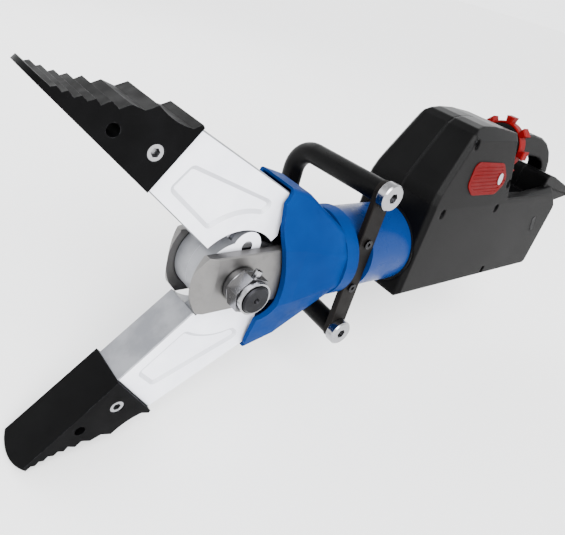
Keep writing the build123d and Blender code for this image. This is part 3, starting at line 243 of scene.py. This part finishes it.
def tip_finish():
    """Black-oxide tool steel: dense black, painted shade on its narrow faces, grey where the ridges have rubbed,
    fine cast skin.
    """
    f = Finish("tip_finish")
    black = (0.0008, 0.0008, 0.0009)
    cloud = f.ramp(f.noise(22.0, 6.0, 0.6), 0.35, 0.7)
    tone = f.mix(cloud, black, (0.0018, 0.0018, 0.0020))
    # Painted shade: every face but the broad sides is darkened toward the deepest black.
    narrow_face_shade = f.math("SUBTRACT", 1.0, f.ramp(f.math("ABSOLUTE", f.facing(ACROSS)), TIP_BROAD_LOW, TIP_BROAD_HIGH))
    tone = f.mix(f.math("MULTIPLY", narrow_face_shade, 0.55), tone, black)
    rub = f.math("MULTIPLY", f.edges(1.1 * MM), f.ramp(f.noise(130.0, 7.0, 0.7), 0.46, 0.64))
    tone = f.mix(f.math("MULTIPLY", rub, 0.5), tone, (0.06, 0.06, 0.065))
    grit = f.noise(1500.0, 3.0)
    pits = f.ramp(f.cells(420.0), 0.0, 0.25)
    height = f.blend(grit, 0.6, pits, 0.4)
    gloss = f.ramp(f.noise(50.0, 6.0), 0.3, 0.7, 0.42, 0.56)
    return f.surface(color=tone, rough=gloss, metal=f.ramp(rub, 0.0, 1.0, 0.0, 0.9), specular=0.035,
                     normal=f.bump(height, 0.08 * MM, 0.5, 0.5 * MM))


def housing_finish():
    """Black shell with a smooth satin front and finely textured dark grey broad sides."""
    f = Finish("housing_finish")
    flat = f.ramp(f.math("ABSOLUTE", f.facing(ACROSS)), SHELL_BROAD_LOW, SHELL_BROAD_HIGH)
    cloud = f.ramp(f.noise(12.0, 5.0), 0.35, 0.7)
    smooth_tone = f.mix(cloud, (0.0010, 0.0010, 0.0011), (0.0018, 0.0018, 0.0019))
    grain_tone = f.mix(cloud, (0.0046, 0.0044, 0.0044), (0.0066, 0.0064, 0.0064))
    tone = f.mix(flat, smooth_tone, grain_tone)
    rub = f.math("MULTIPLY", f.edges(1.4 * MM), f.ramp(f.noise(110.0, 6.0, 0.7), 0.48, 0.68))
    streak = f.ramp(f.noise(48.0, 9.0, 0.78, at=f.stretch((0.6, 2.0, 3.0)), distortion=0.7), 0.67, 0.73)
    wear = f.math("MAXIMUM", f.math("MULTIPLY", rub, 0.5), f.math("MULTIPLY", streak, 0.16))
    tone = f.mix(wear, tone, (0.03, 0.03, 0.032))
    pebble = f.cells(1300.0)
    depth = f.ramp(flat, 0.0, 1.0, 0.12, 1.0)
    gloss = f.math("ADD", f.ramp(flat, 0.0, 1.0, 0.34, 0.56), f.math("MULTIPLY", cloud, 0.07))
    return f.surface(color=tone, rough=gloss, specular=0.06,
                     normal=f.bump(f.math("MULTIPLY", pebble, depth), 0.14 * MM, 0.6, 5.0 * MM))


finishes = {
    "arm_alloy": arm_finish(),
    "tip_steel": tip_finish(),
    "housing_black": housing_finish(),
    "yoke_blue": cast_paint("yoke_paint", (0.0002, 0.0215, 0.112), (0.0002, 0.0155, 0.085), (0.03, 0.08, 0.16),
                            rough=0.44, chip=0.35, specular=0.02),
    "cylinder_blue": cast_paint("cylinder_paint", (0.0006, 0.0200, 0.110), (0.0004, 0.0155, 0.085),
                                (0.04, 0.09, 0.18), rough=0.30, chip=0.3, specular=0.10),
    "fork_alloy": machined("fork_metal", (0.160, 0.156, 0.152), 0.38),
    "link_steel": machined("link_metal", (0.20, 0.205, 0.22), 0.36),
    "bright_steel": machined("bright_metal", (0.29, 0.29, 0.30), 0.16, tarnish=0.25),
    "nut_steel": machined("nut_metal", (0.135, 0.135, 0.14), 0.16, dark=0.3),
    "dark_steel": machined("dark_metal", (0.016, 0.016, 0.018), 0.36, dark=0.4),
    "bronze": machined("bronze_metal", (0.40, 0.24, 0.10), 0.34),
    "gland_alloy": machined("gland_metal", (0.30, 0.31, 0.33), 0.32),
    "tube_black": cast_paint("tube_coat", (0.0011, 0.0011, 0.0012), (0.0020, 0.0019, 0.0019), (0.03, 0.03, 0.03),
                             rough=0.34, chip=0.3, specular=0.05),
    "strap_dark": cast_paint("strap_coat", (0.0046, 0.0038, 0.0034), (0.0030, 0.0026, 0.0024),
                             (0.04, 0.036, 0.033), rough=0.46, chip=0.35, specular=0.05),
    "seal_rubber": moulded("seal_rubber", (0.0022, 0.0022, 0.0024), rough=0.66, specular=0.08),
    "badge_red": moulded("badge_plate", (0.068, 0.0002, 0.0006), 700.0, 0.03, 0.40, (0.14, 0.015, 0.015), 0.3, 0.04),
    "badge_silver": machined("badge_stud", (0.42, 0.42, 0.44), 0.26),
    "grip_red": moulded("grip_rim", (0.100, 0.0006, 0.0009), 900.0, 0.08, 0.42, (0.16, 0.015, 0.015), 0.3, 0.05),
    "grip_black": moulded("grip_hub", (0.0022, 0.0022, 0.0024), specular=0.1),
    "pump_alloy": machined("pump_metal", (0.34, 0.35, 0.37), 0.38),
    "tank_plastic": moulded("tank_shell", (0.06, 0.06, 0.065)),
    "motor_steel": machined("motor_metal", (0.18, 0.18, 0.20), 0.4),
    "core_steel": machined("core_metal", (0.20, 0.16, 0.12), 0.45),
    "board_green": moulded("board_mask", (0.006, 0.07, 0.024), 1800.0, 0.02, 0.3),
    "chip_black": moulded("chip_case", (0.004, 0.004, 0.0044), 1800.0, 0.03),
    "battery_black": moulded("battery_shell", (0.0034, 0.0034, 0.0037), specular=0.12),
    "cell_blue": moulded("cell_sleeve", (0.008, 0.05, 0.13), 1500.0, 0.02, 0.3),
    "holder_grey": moulded("holder_shell", (0.18, 0.18, 0.18)),
}

slots = {part["node"]: part["material_slot"] for part in frame["record"]["subparts"]}
for name, obj in nodes.items():
    obj.data.materials.clear()
    obj.data.materials.append(finishes[slots[name]])

# Floor ----------------------------------------------------------------------------------------------------------
REACH = 300.0
FLOOR_GAP = 0.5 * MM
corners = [(-REACH, -REACH, 0), (REACH, -REACH, 0), (REACH, REACH, 0), (-REACH, REACH, 0)]
floor_mesh = bpy.data.meshes.new("floor")
floor_mesh.from_pydata(corners, [], [(0, 1, 2, 3)])
floor = bpy.data.objects.new("floor", floor_mesh)
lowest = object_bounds()[0][2]
floor.location = (0, 0, lowest - FLOOR_GAP)
bpy.context.scene.collection.objects.link(floor)
paper = Finish("paper")
paper.surface(color=paper.mix(paper.noise(3.0), (0.93, 0.93, 0.935), (0.95, 0.95, 0.95)), rough=0.85)
floor.data.materials.append(paper.material)

# Light ----------------------------------------------------------------------------------------------------------
# A studio dome with bright walls and a dimmer ceiling, so that metal has something to reflect.
WALLS, CEILING = 3.0, 1.1
WALLS_END, CEILING_START = 0.30, 0.80
world = bpy.data.worlds.new("studio")
world.use_nodes = True
tree = world.node_tree
height = tree.nodes.new("ShaderNodeSeparateXYZ")
tree.links.new(tree.nodes.new("ShaderNodeTexCoord").outputs["Generated"], height.inputs[0])
fade = tree.nodes.new("ShaderNodeMapRange")
fade.interpolation_type = "SMOOTHSTEP"
for key, number in ((1, WALLS_END), (2, CEILING_START), (3, WALLS), (4, CEILING)):
    fade.inputs[key].default_value = number
tree.links.new(height.outputs["Z"], fade.inputs[0])
tree.nodes["Background"].inputs["Color"].default_value = (0.98, 0.99, 1.0, 1.0)
tree.links.new(fade.outputs[0], tree.nodes["Background"].inputs["Strength"])
bpy.context.scene.world = world


def add_light(name, data, toward, at=(0, 0, 0)):
    """Puts a light in the scene, shining along a direction."""
    obj = bpy.data.objects.new(name, data)
    obj.location = at
    obj.rotation_euler = Vector(toward).to_track_quat("-Z", "Y").to_euler()
    bpy.context.scene.collection.objects.link(obj)


def lamp(name, at, aim, size, power):
    data = bpy.data.lights.new(name, "AREA")
    data.shape = "RECTANGLE"
    data.size, data.size_y = size
    data.energy = power
    add_light(name, data, Vector(aim) - Vector(at), at)


MIDDLE = (0.25, 0.0, 0.1)
KEY_AT, KEY_SIZE, KEY_POWER = (1.0, 2.0, 1.3), (1.2, 1.2), 60
BACK_AT, BACK_SIZE, BACK_POWER = (0.2, -2.4, 1.8), (2.0, 1.0), 30
lamp("key", KEY_AT, MIDDLE, KEY_SIZE, KEY_POWER)
lamp("back", BACK_AT, MIDDLE, BACK_SIZE, BACK_POWER)

SKY_TOWARD = (-0.35, -0.75, -0.9)
SKY_POWER = 5.5
SKY_SPREAD = math.radians(45)
sky = bpy.data.lights.new("sky", "SUN")
sky.energy = SKY_POWER
sky.angle = SKY_SPREAD
add_light("sky", sky, SKY_TOWARD)

# Camera ---------------------------------------------------------------------------------------------------------
# As the photograph was taken: forward of the tool, to its left and above, looking back and down, rolled a little.
CAMERA_FROM_PIVOT = Vector((0.3435, 0.4236, 0.3189))
HEADING = math.radians(223.781)
DIP = math.radians(28.930)
ROLL = math.radians(16.812)
SENSOR_WIDTH, FOCAL_LENGTH, NEAREST = 36.0, 35.46, 0.01
camera_data = bpy.data.cameras.new("camera")
camera_data.sensor_width = SENSOR_WIDTH
camera_data.lens = FOCAL_LENGTH
camera_data.clip_start = NEAREST
camera = bpy.data.objects.new("camera", camera_data)
forward = Vector((math.cos(HEADING) * math.cos(DIP), math.sin(HEADING) * math.cos(DIP), -math.sin(DIP)))
level = forward.to_track_quat("-Z", "Y").to_matrix().to_4x4()
camera.matrix_world = Matrix.Translation(PIVOT + CAMERA_FROM_PIVOT) @ level @ Matrix.Rotation(ROLL, 4, "Z")
bpy.context.scene.collection.objects.link(camera)
bpy.context.scene.camera = camera
